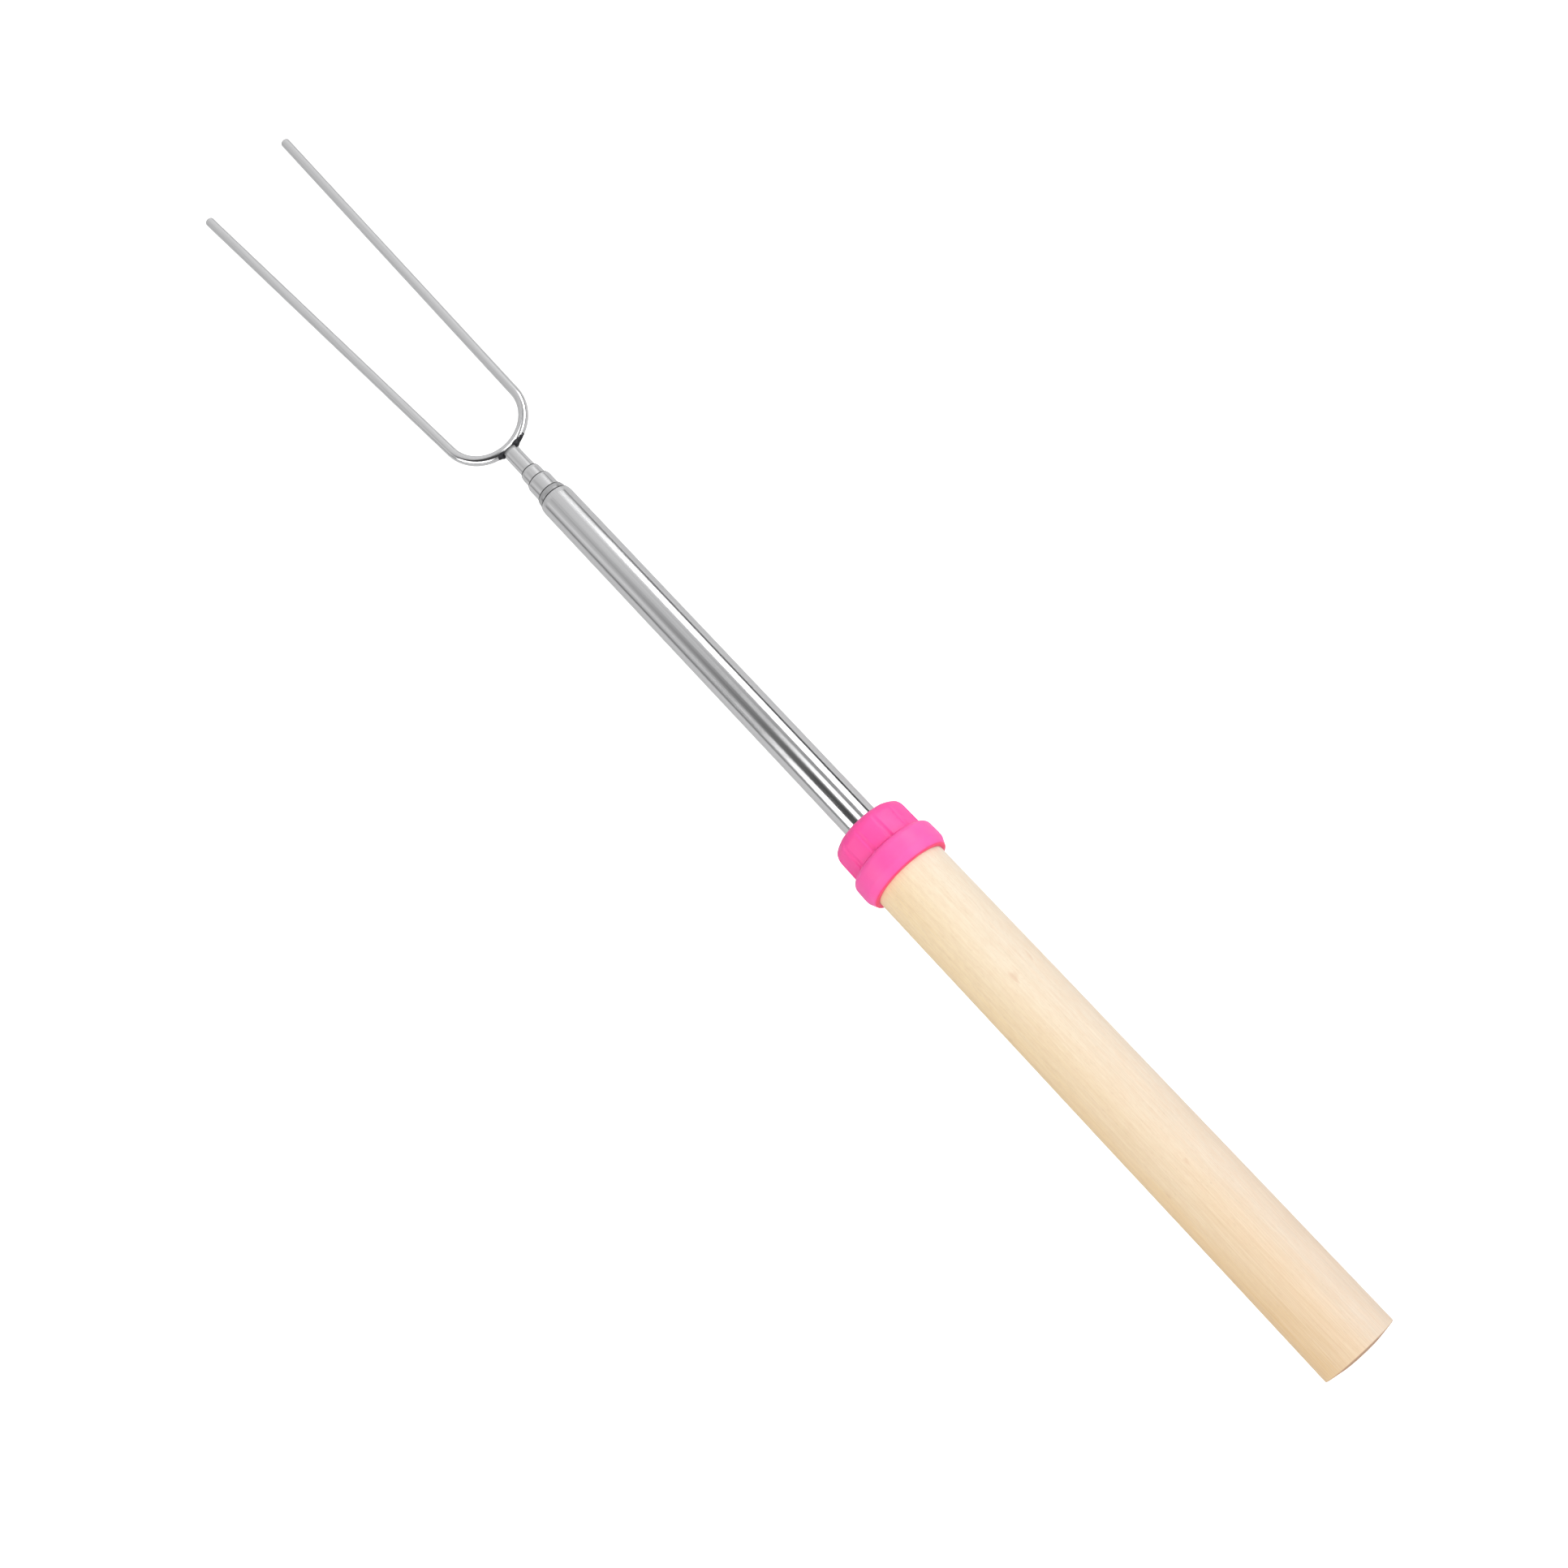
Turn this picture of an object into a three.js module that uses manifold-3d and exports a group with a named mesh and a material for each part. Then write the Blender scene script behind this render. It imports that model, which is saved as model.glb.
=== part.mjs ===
// A telescoping roasting fork: a round wooden handle with a plastic cuff, a thumb wheel that turns
// the fork in the handle, five nested steel tubes that slide out of one another, and a two-pronged
// wire fork welded to the last of them.
// Millimetres. The origin is the middle of the handle's butt face. The shaft lies along +X towards
// the fork, the prongs are level in the XY plane, and +Z is up. The tubes are pushed fully in.
import * as THREE from "three";
import { mergeVertices } from "three/addons/utils/BufferGeometryUtils.js";
import Module from "manifold-3d";

// Handle
const handleDiameter = 16.6;
const handleLength = 125.8;
const buttRound = 0.5;
const boreClearance = 3; // behind the turning tube, to the floor of the bore

// Cuff over the handle's front end
const cuffWall = 1.8;
const cuffSkirt = 4.9;
const cuffWeb = 1.5;
const cuffFrontRound = 1.3;
const cuffRearRound = 1.6;

// Bearing sleeve pressed in the handle's bore
const sleeveWall = 1.6;
const sleeveLength = 20.6;
const flangeWidth = 0.7;
const flangeThickness = 1.2;

// Thumb wheel
const wheelDiameter = 17.7;
const wheelLength = 7.3;
const wheelRound = 2.6;
const fluteCount = 12;
const fluteRadius = 0.8;
const fluteDepthRear = 0.4;
const fluteDepthFront = 0.25;
const washerThickness = 0.5;
const washerWidth = 2.2;

// Tubes
const outerTubeDiameter = 8;
const tubeWall = 0.25;
const tubeGap = 0.265; // radial, between one tube and the next, which the shims fill
const outerTubeReach = 111.65; // from the cuff's front face to the mouth of the outer tube
const stubLengths = [1.8, 4.35, 3.3]; // how far each sliding tube stands out of the one round it
const tipReach = 7; // of the last tube
const crimpLength = 1.8; // the rounded, drawn-in nose of each mouth
const lipThickness = 0.12;
const lipLand = 0.4;
const mouthClearance = 0.08;

// Waist rolled into the rear of each tube
const waistRamp = 0.3;
const rearLip = 1;
const waistLength = 8;
const waistDepth = 0.12;
const shimCover = 150; // degrees round the tube that one shim covers
const shimClearance = 0.03;
const stopGap = 0.5; // between a tube's rear end and the waist behind it

// Retaining clip and end plug on the turning tube
const clipThickness = 0.8;
const clipWidth = 1.5;
const clipCover = 300;
const clipWaistDepth = 0.25;
const tailLength = 5; // of the turning tube behind its clip
const plugHead = 0.8;
const plugLength = 4;

// Fork
const wireDiameter = 2.3;
const bendRadius = 9.85; // to the wire's middle
const prongs = { left: { splay: 3.1, length: 93.6 }, right: { splay: 1, length: 95 } };
const beadLength = 1.3; // of the weld, along the last tube
const beadWidth = 0.3;
const beadFlare = 0.7;
const beadRise = 1; // up the sides of the wire

// Fits
const pressGap = 0.04;
const runGap = 0.08;
const endGap = 0.1; // along the shaft, between pieces that turn past each other
const cuffHoleGap = 0.4;

// Facets round each circle
const tubeFacets = 24;
const gripFacets = 48;
const wireFacets = 12;
const arcSegments = 0.5; // a shape's arc is cut into two facets for each of its curveSegments

// Worked out from the sizes above
const handleRadius = handleDiameter / 2;
const cuffRadius = handleRadius + cuffWall;
const cuffRear = handleLength - cuffSkirt;
const cuffFront = handleLength + pressGap + cuffWeb;
const tubeRadius = outerTubeDiameter / 2;
const sleeveBore = tubeRadius + runGap;
const sleeveRadius = sleeveBore + sleeveWall;
const sleeveRear = handleLength - sleeveLength;
const clipFront = sleeveRear - endGap;
const clipWaist = [clipFront - clipThickness - endGap - waistRamp, clipFront + endGap + waistRamp];
const outerTubeRear = clipWaist[0] - tailLength;
const outerTubeMouth = cuffFront + outerTubeReach;
const tubeStep = tubeWall + tubeGap;
const washerRear = cuffFront + endGap;
const washerRadius = tubeRadius + pressGap + washerWidth;
const wheelRear = washerRear + endGap;
const wheelFront = wheelRear + wheelLength;

// Each tube's radius, its rear end, its mouth and the waist behind its nose, from the outer one in.
const tubes = [
  { radius: tubeRadius, rear: outerTubeRear, mouth: outerTubeMouth, waist: clipWaist, depth: clipWaistDepth },
];
for (const reach of [...stubLengths, tipReach]) {
  const around = tubes.at(-1);
  const rear = around.waist[1] + stopGap;
  const waist = [rear + rearLip, rear + rearLip + waistLength];
  const radius = around.radius - tubeStep;
  tubes.push({ radius, rear, mouth: around.mouth + reach, waist, depth: waistDepth });
}
const tip = tubes.at(-1);
const wireRadius = wireDiameter / 2;
const bendOuter = bendRadius + wireRadius;
const bendDip = bendOuter - Math.sqrt(bendOuter ** 2 - (tip.radius - tubeWall) ** 2); // into the bore
const bendBottom = tip.mouth + pressGap - bendDip + wireRadius;

// Materials
const finish = (color, roughness, metalness) =>
  new THREE.MeshStandardMaterial({ color, roughness, metalness });
const beech = finish(0xf0dcb8, 0.55, 0);
const pinkPlastic = finish(0xff5fb0, 0.4, 0);
const whiteNylon = finish(0xe9e7df, 0.5, 0);
const stainless = finish(0xc9cacc, 0.22, 1);
const springSteel = finish(0x8f9193, 0.35, 1);
const brass = finish(0xc9a24e, 0.35, 1);
const weldMetal = finish(0x9a9a9c, 0.4, 1);

const wasm = await Module();
wasm.setup();

const object = new THREE.Group();

function add(name, geometry, material) {
  const mesh = new THREE.Mesh(geometry, material);
  mesh.name = name;
  object.add(mesh);
}

// Turns a profile of [x, radius] points round the X axis. Seen with x to the right and the radius
// upwards, the profile runs with the material on its right.
function turned(profile, facets) {
  const points = profile.map(([x, radius]) => new THREE.Vector2(radius, x));
  return new THREE.LatheGeometry(points, facets).rotateZ(-Math.PI / 2);
}

// Points on an arc of an ellipse in a profile, from one angle to another, in degrees from +X.
function arc(x, radius, alongX, alongRadius, from, to, steps) {
  const points = [];
  for (let i = 0; i <= steps; i++) {
    const angle = THREE.MathUtils.degToRad(from + ((to - from) * i) / steps);
    points.push([x + alongX * Math.cos(angle), radius + alongRadius * Math.sin(angle)]);
  }
  return points;
}

// A flat C of even thickness round the X axis, in facets that line up with those of a turned piece.
function openRing(rear, length, inner, outer, from, cover) {
  const start = THREE.MathUtils.degToRad(from);
  const end = THREE.MathUtils.degToRad(from + cover);
  const outline = new THREE.Shape();
  outline.absarc(0, 0, outer, start, end, false);
  outline.absarc(0, 0, inner, end, start, true);
  const curveSegments = arcSegments * Math.round((cover / 360) * tubeFacets);
  return new THREE.ExtrudeGeometry(outline, { depth: length, bevelEnabled: false, curveSegments })
    .rotateY(Math.PI / 2)
    .translate(rear, 0, 0);
}

function solidOf(geometry) {
  const bare = geometry.clone();
  bare.deleteAttribute("normal");
  bare.deleteAttribute("uv");
  const merged = mergeVertices(bare, 1e-4);
  const vertProperties = merged.attributes.position.array;
  const triVerts = new Uint32Array(merged.index.array);
  return new wasm.Manifold(new wasm.Mesh({ numProp: 3, vertProperties, triVerts }));
}

function geometryOf(solid) {
  const { vertProperties, triVerts } = solid.getMesh();
  const geometry = new THREE.BufferGeometry();
  geometry.setAttribute("position", new THREE.BufferAttribute(vertProperties, 3));
  geometry.setIndex(new THREE.BufferAttribute(triVerts, 1));
  geometry.computeVertexNormals();
  return geometry;
}

// Wooden handle: a plain round rod with a blind bore, counterbored for the sleeve's flange.
function handleGrip() {
  const bore = sleeveRadius + pressGap;
  const counterbore = sleeveRadius + flangeWidth + pressGap;
  const floor = outerTubeRear - plugHead - boreClearance;
  return turned(
    [
      [0, 0],
      ...arc(buttRound, handleRadius - buttRound, buttRound, buttRound, 180, 90, 3),
      [handleLength, handleRadius],
      [handleLength, counterbore],
      [handleLength - flangeThickness - pressGap, counterbore],
      [handleLength - flangeThickness - pressGap, bore],
      [floor, bore],
      [floor, 0],
    ],
    gripFacets,
  );
}

// Cuff: a cap with rounded shoulders over the handle's front end, with a hole for the tube.
function handleCuff() {
  const skirt = handleRadius + pressGap;
  const hole = tubeRadius + cuffHoleGap;
  const web = handleLength + pressGap;
  const rearRound = Math.min(cuffRearRound, cuffWall - pressGap);
  const frontRound = cuffFrontRound;
  return turned(
    [
      [cuffRear, skirt],
      ...arc(cuffRear + rearRound, cuffRadius - rearRound, rearRound, rearRound, 180, 90, 5),
      ...arc(cuffFront - frontRound, cuffRadius - frontRound, frontRound, frontRound, 90, 0, 4),
      [cuffFront, hole],
      [web, hole],
      [web, skirt],
      [cuffRear, skirt],
    ],
    gripFacets,
  );
}

// Flanged sleeve that the tube turns in.
function bearingSleeve() {
  const flange = sleeveRadius + flangeWidth;
  const flangeRear = handleLength - flangeThickness;
  return turned(
    [
      [sleeveRear, sleeveBore],
      [sleeveRear, sleeveRadius],
      [flangeRear, sleeveRadius],
      [flangeRear, flange],
      [handleLength, flange],
      [handleLength, sleeveBore],
      [sleeveRear, sleeveBore],
    ],
    tubeFacets,
  );
}

// Thumb wheel: a rounded cap pressed on the tube, with finger flutes that deepen to the rear and a
// recess behind for the washer.
function thumbWheel() {
  const radius = wheelDiameter / 2;
  const bore = tubeRadius + pressGap;
  const recess = washerRadius + pressGap;
  const recessFloor = wheelRear + washerThickness;
  const body = turned(
    [
      [recessFloor, bore],
      [recessFloor, recess],
      [wheelRear, recess],
      [wheelRear, radius],
      ...arc(wheelFront - wheelRound, radius - wheelRound, wheelRound, wheelRound, 90, 0, 5),
      [wheelFront, bore],
      [recessFloor, bore],
    ],
    gripFacets,
  );
  let wheel = solidOf(body);
  const tilt = Math.atan2(fluteDepthRear - fluteDepthFront, wheelLength);
  const middleDepth = (fluteDepthRear + fluteDepthFront) / 2;
  for (let i = 0; i < fluteCount; i++) {
    const flute = new THREE.CylinderGeometry(fluteRadius, fluteRadius, wheelLength * 1.5, 10)
      .rotateZ(-Math.PI / 2 - tilt)
      .translate((wheelRear + wheelFront) / 2, radius + fluteRadius - middleDepth, 0)
      .rotateX((i * 2 * Math.PI) / fluteCount);
    wheel = wheel.subtract(solidOf(flute));
  }
  return geometryOf(wheel);
}

// Flat washer that the wheel turns against.
function thrustWasher() {
  const inner = tubeRadius + pressGap;
  const front = washerRear + washerThickness;
  return turned(
    [
      [washerRear, inner],
      [washerRear, washerRadius],
      [front, washerRadius],
      [front, inner],
      [washerRear, inner],
    ],
    tubeFacets,
  );
}

// Open spring ring in the turning tube's waist, with its gap upwards.
function retainingClip() {
  const inner = tubeRadius - clipWaistDepth + shimClearance;
  const outer = tubeRadius + clipWidth;
  return openRing(clipFront - clipThickness, clipThickness, inner, outer, -clipCover / 2, clipCover);
}

// A tube with a waist near its rear end and a nose drawn in round the next tube.
function slidingTube({ radius, rear, mouth, waist, depth }, next) {
  const bore = radius - tubeWall;
  const [waistRear, waistFront] = waist;
  const outside = [
    [rear, radius],
    [waistRear, radius],
    [waistRear + waistRamp, radius - depth],
    [waistFront - waistRamp, radius - depth],
    [waistFront, radius],
  ];
  const inside = outside.map(([x, r]) => [x, r - tubeWall]).reverse();
  if (!next) return turned([...outside, [mouth, radius], [mouth, bore], ...inside, outside[0]], tubeFacets);
  const lip = next.radius + mouthClearance;
  const lipOutside = lip + lipThickness;
  const noseRear = mouth - crimpLength;
  return turned(
    [
      ...outside,
      ...arc(noseRear, lipOutside, crimpLength, radius - lipOutside, 90, 0, 4),
      [mouth, lip],
      [mouth - lipLand, lip],
      [noseRear, bore],
      ...inside,
      outside[0],
    ],
    tubeFacets,
  );
}

// One of the two curved shims that sit in a tube's waist and rub in the tube round it.
function frictionShim({ radius, waist, depth }, side) {
  const rear = waist[0] + waistRamp + shimClearance;
  const length = waist[1] - waist[0] - 2 * (waistRamp + shimClearance);
  const inner = radius - depth + shimClearance;
  const outer = radius + tubeGap - shimClearance;
  const from = (180 - shimCover) / 2 + (side === "left" ? 0 : 180);
  return openRing(rear, length, inner, outer, from, shimCover);
}

// Plug that closes the turning tube's rear end.
function tubeEndPlug() {
  const spigot = tubeRadius - tubeWall - pressGap;
  const seat = outerTubeRear - pressGap;
  return turned(
    [
      [seat - plugHead, 0],
      [seat - plugHead, tubeRadius],
      [seat, tubeRadius],
      [seat, spigot],
      [outerTubeRear + plugLength, spigot],
      [outerTubeRear + plugLength, 0],
    ],
    tubeFacets,
  );
}

// The fork's wire from one tip to the other, sampled in more steps round the bend than along the
// straight prongs.
class ForkWire extends THREE.Curve {
  static prongSteps = 6;
  static bendSteps = 18;
  static steps = 2 * ForkWire.prongSteps + ForkWire.bendSteps;

  // A point of one prong, at a share of its length from the bend.
  prongPoint({ splay, length }, side, share) {
    const turn = THREE.MathUtils.degToRad(90 - splay);
    const along = length * share;
    const x = bendBottom + bendRadius * (1 - Math.cos(turn)) + along * Math.sin(turn);
    const y = bendRadius * Math.sin(turn) + along * Math.cos(turn);
    return new THREE.Vector3(x, side * y, 0);
  }

  getPoint(t) {
    const prongShare = ForkWire.prongSteps / ForkWire.steps;
    if (t <= prongShare) return this.prongPoint(prongs.left, 1, 1 - t / prongShare);
    if (t >= 1 - prongShare) return this.prongPoint(prongs.right, -1, 1 - (1 - t) / prongShare);
    const share = (t - prongShare) / (1 - 2 * prongShare);
    const turn = THREE.MathUtils.lerp(90 - prongs.left.splay, prongs.right.splay - 90, share);
    const angle = THREE.MathUtils.degToRad(turn);
    const x = bendBottom + bendRadius * (1 - Math.cos(angle));
    return new THREE.Vector3(x, bendRadius * Math.sin(angle), 0);
  }

  // Steps follow the parameter, not the length along the wire.
  getUtoTmapping(u) {
    return u;
  }
}

function bentWire(radius) {
  const section = new THREE.Shape().absarc(0, 0, radius, 0, 2 * Math.PI, false);
  return new THREE.ExtrudeGeometry(section, {
    extrudePath: new ForkWire(),
    steps: ForkWire.steps,
    curveSegments: arcSegments * wireFacets,
  });
}

// Weld between the last tube and the bend of the wire, which it hugs.
function weldBead() {
  const inner = tip.radius + pressGap;
  const rear = tip.mouth - beadLength;
  const seat = tip.mouth + pressGap;
  const top = bendBottom - wireRadius + beadRise;
  const body = turned(
    [
      [seat, 0],
      [seat, inner],
      [rear, inner],
      [rear, inner + beadWidth],
      [seat, inner + beadWidth + beadFlare],
      [top, inner + beadFlare],
      [top, 0],
    ],
    tubeFacets,
  );
  return geometryOf(solidOf(body).subtract(solidOf(bentWire(wireRadius + pressGap))));
}

add("handle_grip", handleGrip(), beech);
add("handle_cuff", handleCuff(), pinkPlastic);
add("bearing_sleeve", bearingSleeve(), whiteNylon);
add("thumb_wheel", thumbWheel(), pinkPlastic);
add("thrust_washer", thrustWasher(), whiteNylon);
add("retaining_clip", retainingClip(), springSteel);
add("tube_end_plug", tubeEndPlug(), whiteNylon);
tubes.forEach((tube, i) => {
  const name = i === 0 ? "outer_tube" : tube === tip ? "tip_tube" : `slide_tube_${i}`;
  add(name, slidingTube(tube, tubes[i + 1]), stainless);
  if (i === 0) return;
  for (const side of ["left", "right"]) {
    add(`friction_shim_${i}_${side}`, frictionShim(tube, side), brass);
  }
});
add("weld_bead", weldBead(), weldMetal);
add("fork_wire", bentWire(wireRadius), stainless);

export default object;
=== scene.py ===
"""A telescoping roasting fork on a pale floor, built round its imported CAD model.

Shapes are worked out in millimetres, with +X along the shaft towards the fork, the prongs level and
+Z up, and become metres when their mesh is made.
"""

import math

import bpy
import numpy as np
from mathutils import Matrix, Vector


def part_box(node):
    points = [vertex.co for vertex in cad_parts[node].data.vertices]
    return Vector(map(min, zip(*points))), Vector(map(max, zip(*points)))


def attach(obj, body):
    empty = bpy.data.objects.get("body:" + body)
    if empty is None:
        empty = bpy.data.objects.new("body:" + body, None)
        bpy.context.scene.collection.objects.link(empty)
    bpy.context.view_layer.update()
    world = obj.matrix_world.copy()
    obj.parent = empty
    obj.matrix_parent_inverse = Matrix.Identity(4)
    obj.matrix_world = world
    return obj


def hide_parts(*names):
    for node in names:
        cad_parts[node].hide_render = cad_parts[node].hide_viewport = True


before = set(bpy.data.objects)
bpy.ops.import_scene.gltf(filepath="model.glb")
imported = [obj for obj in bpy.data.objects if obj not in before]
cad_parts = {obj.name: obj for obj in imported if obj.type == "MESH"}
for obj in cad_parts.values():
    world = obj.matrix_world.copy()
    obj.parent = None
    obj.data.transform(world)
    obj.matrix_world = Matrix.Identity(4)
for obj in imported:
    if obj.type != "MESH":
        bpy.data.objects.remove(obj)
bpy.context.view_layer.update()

MM = 0.001


def span(node):
    """Rear end, front end and largest radius of a CAD node, in millimetres."""
    low, high = (np.array(corner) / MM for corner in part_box(node))
    return low[0], high[0], np.abs([low[1:], high[1:]]).max()


# Each tube and the body it rides on
TUBES = {
    "outer_tube": "turning_tube",
    "slide_tube_1": "first_slide",
    "slide_tube_2": "second_slide",
    "slide_tube_3": "third_slide",
    "tip_tube": "tip_slide",
}

# Sizes that the CAD boxes don't give, in millimetres
TUBE_WALL = 0.25
# How long each tube's rounded nose is, and how dark its stub is painted, a painted darker reflection
NOSES = {
    "outer_tube": (1.8, 0.0),
    "slide_tube_1": (1.3, 0.3),
    "slide_tube_2": (0.8, 0.0),
    "slide_tube_3": (1.1, 0.0),
}
NECK = 1.8  # how far behind a mouth the bore starts to narrow
LIP_WALL = 0.12
LIP_LAND = 0.4
LIP_GAP = 0.08
MOUTH_SHADE, WELD_DARK_BAND = 0.42, 0.3  # width of the painted shade line at a nested mouth, and of the darker band at the weld
WAIST_RAMP = 0.3
SHIM_WAIST = (1.0, 9.0, 0.12)  # from the tube's rear end, to, and how deep
CLIP_WAIST_DEPTH = 0.25
CLIP_WAIST_MARGIN = 0.4
PRESS_GAP = 0.04
RUN_GAP = 0.08
SLEEVE_WALL = 1.6
SLEEVE_FLANGE = 1.2
BORE_CLEARANCE = 3  # behind the end plug
BUTT_DOME = 0.55
WHEEL_RADIUS = 8.85
FLUTES, FLUTE_DEPTH, FLUTE_TURN = 12, (0.4, 0.25), 16  # depth at the rear and front, turn in degrees
WIRE_RADIUS = 1.15
BEND_RADIUS = 9.85
PRONGS = ((3.1, 93.6), (1.0, 95.0))  # splay in degrees and length, of the left and the right prong

BUTT, GRIP_FRONT, GRIP_RADIUS = span("handle_grip")
CUFF_REAR, CUFF_FRONT, CUFF_RADIUS = span("handle_cuff")
WHEEL_REAR, WHEEL_FRONT, _ = span("thumb_wheel")
FLANGE_RADIUS = span("bearing_sleeve")[2]
WASHER_REAR, WASHER_FRONT, WASHER_RADIUS = span("thrust_washer")
CLIP_REAR, CLIP_FRONT, _ = span("retaining_clip")
PLUG_REAR = span("tube_end_plug")[0]
TUBE_RADIUS = span("outer_tube")[2]
TIP_RADIUS = span("tip_tube")[2]
WIRE_REAR = span("fork_wire")[0]
SLEEVE_RADIUS = TUBE_RADIUS + RUN_GAP + SLEEVE_WALL


# ---------------------------------------------------------------- camera, light and floor


def look_down_the_shaft():
    """Camera over the handle, looking along to the fork, which slopes away from it and leans across the
    picture from lower right to upper left."""
    slope, lean = math.radians(19.3), math.radians(46.99)
    place = (0.0237, 0.0061, 0.3709)  # metres
    towards_butt = Vector((-math.cos(slope), 0, -math.sin(slope)))
    sideways = Vector((0, -1, 0))
    right = math.cos(lean) * towards_butt + math.sin(lean) * sideways
    up = math.cos(lean) * sideways - math.sin(lean) * towards_butt
    back = right.cross(up)
    lens = bpy.data.cameras.new("camera")
    lens.sensor_width = 36
    lens.lens = 43.79
    lens.clip_start, lens.clip_end = 0.01, 50
    camera = bpy.data.objects.new("camera", lens)
    turn = Matrix((right, up, back)).transposed().to_4x4()
    camera.matrix_world = Matrix.Translation(place) @ turn
    bpy.context.collection.objects.link(camera)
    bpy.context.scene.camera = camera


def softbox(name, low, high, rear, front, radiance):
    """Flat area light against a cylinder of 1 m round the shaft, facing the shaft. It spans two angles
    in degrees from +Z towards -Y, and two places along the shaft in metres."""
    middle, half = math.radians(low + high) / 2, math.radians(high - low) / 2
    away = Vector((0, -math.sin(middle), math.cos(middle)))
    along = Vector((1, 0, 0))
    light = bpy.data.lights.new(name, "AREA")
    light.shape, light.size, light.size_y = "RECTANGLE", front - rear, 2 * math.tan(half)
    light.energy = radiance * math.pi * light.size * light.size_y
    box = bpy.data.objects.new(name, light)
    turn = Matrix((along, away.cross(along), away)).transposed().to_4x4()
    box.matrix_world = Matrix.Translation(away + along * (rear + front) / 2) @ turn
    box.visible_camera = False
    bpy.context.collection.objects.link(box)
    return box


def node(tree, kind, inputs=None, **settings):
    """A shader node: settings set its properties, inputs its sockets, each to a value or a socket."""
    made = tree.nodes.new("ShaderNode" + kind)
    for name, value in settings.items():
        setattr(made, name, value)
    for name, value in (inputs or {}).items():
        if isinstance(value, bpy.types.NodeSocket):
            tree.links.new(value, made.inputs[name])
        else:
            made.inputs[name].default_value = value
    return made


def room_light(tree, place, levels):
    """Light of the room round the shaft: stops of (degrees from +Z towards -Y, radiance), in order."""
    brightest = 1.2
    made = node(tree, "ValToRGB", {0: place})
    points = made.color_ramp.elements
    for i, (degrees, radiance) in enumerate(levels):
        point = points[i] if i < 2 else points.new(1)
        point.position = (degrees + 90) / 180
        point.color = (*[radiance / brightest] * 3, 1)
    scaled = node(tree, "VectorMath", {0: made.outputs[0]}, operation="SCALE")
    scaled.inputs["Scale"].default_value = brightest
    return scaled.outputs[0]


def studio_world():
    """Room light, which changes along the shaft: dark gaps between the softboxes, then a grey wall with
    two soft light bands beyond the fork, then plain grey straight ahead. The camera sees white."""
    world = bpy.data.worlds.new("studio")
    world.use_nodes = True
    tree = world.node_tree
    tree.nodes.clear()
    way = node(tree, "SeparateXYZ", {0: node(tree, "TexCoord").outputs["Generated"]})
    right = node(tree, "Math", {0: way.outputs["Y"], 1: -1.0}, operation="MULTIPLY")
    angle = node(tree, "Math", {0: right.outputs[0], 1: way.outputs["Z"]}, operation="ARCTAN2")
    half = {"From Min": -math.pi / 2, "From Max": math.pi / 2}
    place = node(tree, "MapRange", {"Value": angle.outputs[0], **half}).outputs[0]
    gaps = [
        *[(-90, 0.3), (-80, 0.35), (-45, 0.3), (-36, 0.05), (-12, 0.04), (-3, 0.4)],
        *[(18, 0.45), (24, 0.25), (38, 0.3), (73, 0.3), (77, 0.02), (89, 0.02)],
    ]
    wall = [
        *[(-89, 0.2), (-81, 0.25), (-72, 0.6), (-59, 0.86), (-42, 0.6), (-26, 0.46), (-6, 0.66)],
        *[(26, 0.74), (42, 0.9), (57, 1.12), (72, 0.75), (79, 0.3), (89, 0.15)],
    ]
    ahead = [(-89, 0.55), (89, 0.82)]
    light = room_light(tree, place, gaps)
    for levels, start, end in (wall, 0.31, 0.46), (ahead, 0.48, 0.56):
        share = node(tree, "MapRange", {"Value": way.outputs["X"], "From Min": start, "From Max": end})
        both = {0: share.outputs[0], 6: light, 7: room_light(tree, place, levels)}
        light = node(tree, "Mix", both, data_type="RGBA").outputs[2]
    seen = node(tree, "Background", {"Color": (1, 1, 1, 1), "Strength": 1.0})
    lit = node(tree, "Background", {"Color": light, "Strength": 1.0})
    by_camera = node(tree, "LightPath").outputs["Is Camera Ray"]
    pick = node(tree, "MixShader", {0: by_camera, 1: lit.outputs[0], 2: seen.outputs[0]})
    node(tree, "OutputWorld", {"Surface": pick.outputs[0]})
    bpy.context.scene.world = world


def pale_floor():
    """Wide pale grey floor just under the reach of the turned fork, which the camera sees as white."""
    half_side = 30
    level = -1.1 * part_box("fork_wire")[1].y
    mesh = bpy.data.meshes.new("floor")
    signs = (-1, -1), (1, -1), (1, 1), (-1, 1)
    corners = [(half_side * x, half_side * y, level) for x, y in signs]
    mesh.from_pydata(corners, [], [(0, 1, 2, 3)])
    material = bpy.data.materials.new("light_table")
    material.use_nodes = True
    tree = material.node_tree
    shader = tree.nodes["Principled BSDF"]
    shader.inputs["Base Color"].default_value = (0.6, 0.6, 0.6, 1)
    shader.inputs["Roughness"].default_value = 0.9
    shader.inputs["Specular IOR Level"].default_value = 0.1
    shader.inputs["Emission Color"].default_value = (0.8, 0.8, 0.8, 1)
    tree.links.new(node(tree, "LightPath").outputs["Is Camera Ray"], shader.inputs["Emission Strength"])
    mesh.materials.append(material)
    floor = bpy.data.objects.new("floor", mesh)
    bpy.context.collection.objects.link(floor)


look_down_the_shaft()
studio_world()
pale_floor()
softbox("key_softbox", 42, 73, -0.9, 0.72, 2.9)
softbox("top_softbox", -2, 18, -0.7, 0.5, 1.7)
softbox("fill_softbox", -73, -44.5, -0.9, 0.5, 2.5)
# The steel does not mirror the light behind the butt, which would leave it white seen from the fork.
softbox("rear_softbox", -30, 30, -1.9, -0.8, 4.0).visible_glossy = False
bpy.context.scene.view_settings.view_transform = "Standard"


# ---------------------------------------------------------------- making meshes


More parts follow.
